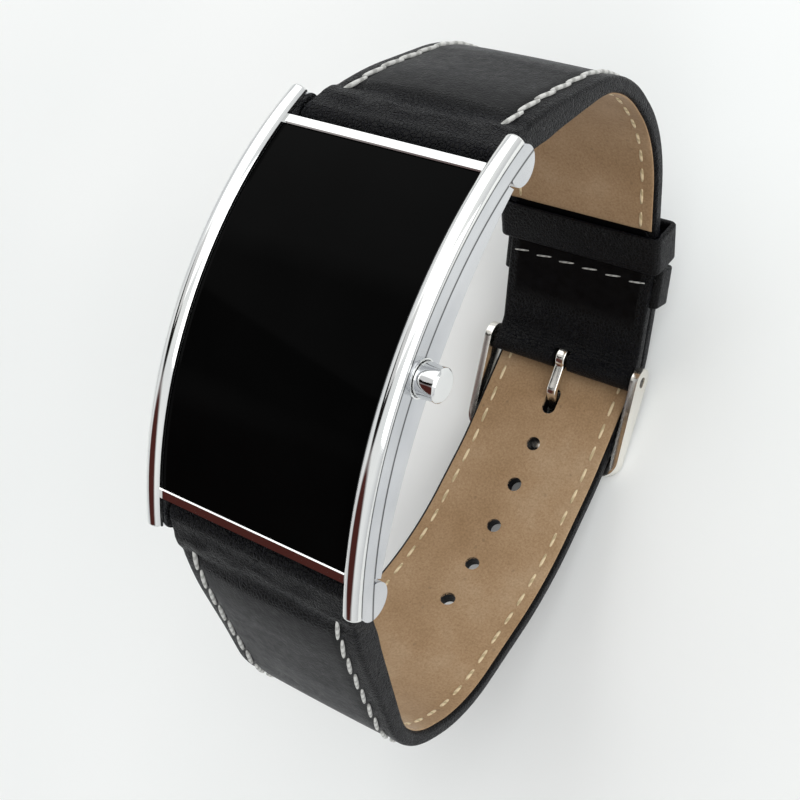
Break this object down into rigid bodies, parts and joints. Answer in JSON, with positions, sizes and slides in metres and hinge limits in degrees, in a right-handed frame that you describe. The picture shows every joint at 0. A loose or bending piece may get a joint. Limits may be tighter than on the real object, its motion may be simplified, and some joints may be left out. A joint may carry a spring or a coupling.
{
  "type": "binary watch",
  "caption": "Wristwatch with a curved black LED display, steel case and a closed stitched leather strap.",
  "frame": {"origin": "on the table the watch stands on, in the middle of the case's width, under its centre", "axes": "+X to 3 o'clock where the button is, +Y to 12 o'clock, +Z out of the display"},
  "size_m": [0.0305, 0.0795, 0.0683],
  "materials": {
    "bright_steel": "polished steel case parts",
    "brushed_steel": "satin steel",
    "black_glass": "gloss black curved window, dark tint",
    "seal_rubber": "soft black rubber",
    "circuit_board": "solder-masked board",
    "led_resin": "red diffused resin, unlit",
    "holder_plastic": "moulded black plastic",
    "chip_plastic": "chip package",
    "nickel_parts": "nickel plated",
    "black_leather": "black grained leather with a soft sheen",
    "tan_leather": "tan lining leather, matt",
    "strap_filler": "grey felt filler, hidden",
    "pale_thread": "pale grey waxed thread",
    "buckle_nickel": "satin nickel"
  },
  "bodies": {
    "case": {"front_frame": "bright_steel", "display_lens": "black_glass", "lens_gasket": "seal_rubber", "case_body": "bright_steel", "case_back": "brushed_steel", "case_back_gasket": "seal_rubber", "case_back_screws": "brushed_steel", "led_board": "circuit_board", "leds": "led_resin", "movement_holder": "holder_plastic", "main_board": "circuit_board", "driver_chip": "chip_plastic", "quartz_crystal": "nickel_parts", "switch_contact": "nickel_parts", "battery": "nickel_parts", "battery_contact": "nickel_parts", "battery_clip": "nickel_parts", "button_tube": "bright_steel", "button_seal": "seal_rubber", "button_spring": "brushed_steel", "upper_strap_cover": "black_leather", "upper_strap_lining": "tan_leather", "upper_strap_padding": "strap_filler", "upper_strap_thread": "pale_thread", "lower_strap_cover": "black_leather", "lower_strap_lining": "tan_leather", "lower_strap_padding": "strap_filler", "lower_strap_thread": "pale_thread", "fold_thread": "pale_thread", "fixed_keeper": "black_leather", "upper_bar_tube": "brushed_steel", "upper_bar_spring": "brushed_steel", "lower_bar_tube": "brushed_steel", "lower_bar_spring": "brushed_steel"},
    "push_button": {"push_button": "bright_steel", "button_clip": "brushed_steel"},
    "buckle_frame": {"buckle_frame": "buckle_nickel", "buckle_bar": "buckle_nickel"},
    "buckle_prong": {"buckle_prong": "buckle_nickel"},
    "free_keeper": {"free_keeper": "black_leather"},
    "upper_bar_left_tip": {"upper_bar_left_tip": "brushed_steel"},
    "upper_bar_right_tip": {"upper_bar_right_tip": "brushed_steel"},
    "lower_bar_left_tip": {"lower_bar_left_tip": "brushed_steel"},
    "lower_bar_right_tip": {"lower_bar_right_tip": "brushed_steel"}
  },
  "joints": [
    {"name": "button_press", "type": "slide", "parent": "case", "child": "push_button", "axis": [-1, 0, 0], "range_m": [0, 0.0008], "stiffness_N_per_m": 1000, "springref_m": -0.0012, "deforming": ["button_spring"]},
    {"name": "buckle_swing", "type": "hinge", "parent": "case", "child": "buckle_frame", "pos_m": [0, 0.0074, 0.0035], "axis": [1, 0, 0], "range_deg": [0, 2]},
    {"name": "prong_swing", "type": "hinge", "parent": "buckle_frame", "child": "buckle_prong", "pos_m": [0, 0.0074, 0.0035], "axis": [1, 0, 0], "range_deg": [0, 1.5]},
    {"name": "keeper_slide", "type": "slide", "parent": "case", "child": "free_keeper", "axis": [0, 0.7314, 0.682], "range_m": [0, 0.005]},
    {"name": "upper_bar_left_tip_press", "type": "slide", "parent": "case", "child": "upper_bar_left_tip", "axis": [1, 0, 0], "range_m": [0, 0.0012], "stiffness_N_per_m": 800, "springref_m": -0.001, "deforming": ["upper_bar_spring"]},
    {"name": "upper_bar_right_tip_press", "type": "slide", "parent": "case", "child": "upper_bar_right_tip", "axis": [-1, 0, 0], "range_m": [0, 0.0012], "stiffness_N_per_m": 800, "springref_m": -0.001, "deforming": ["upper_bar_spring"]},
    {"name": "lower_bar_left_tip_press", "type": "slide", "parent": "case", "child": "lower_bar_left_tip", "axis": [1, 0, 0], "range_m": [0, 0.0012], "stiffness_N_per_m": 800, "springref_m": -0.001, "deforming": ["lower_bar_spring"]},
    {"name": "lower_bar_right_tip_press", "type": "slide", "parent": "case", "child": "lower_bar_right_tip", "axis": [-1, 0, 0], "range_m": [0, 0.0012], "stiffness_N_per_m": 800, "springref_m": -0.001, "deforming": ["lower_bar_spring"]}
  ]
}
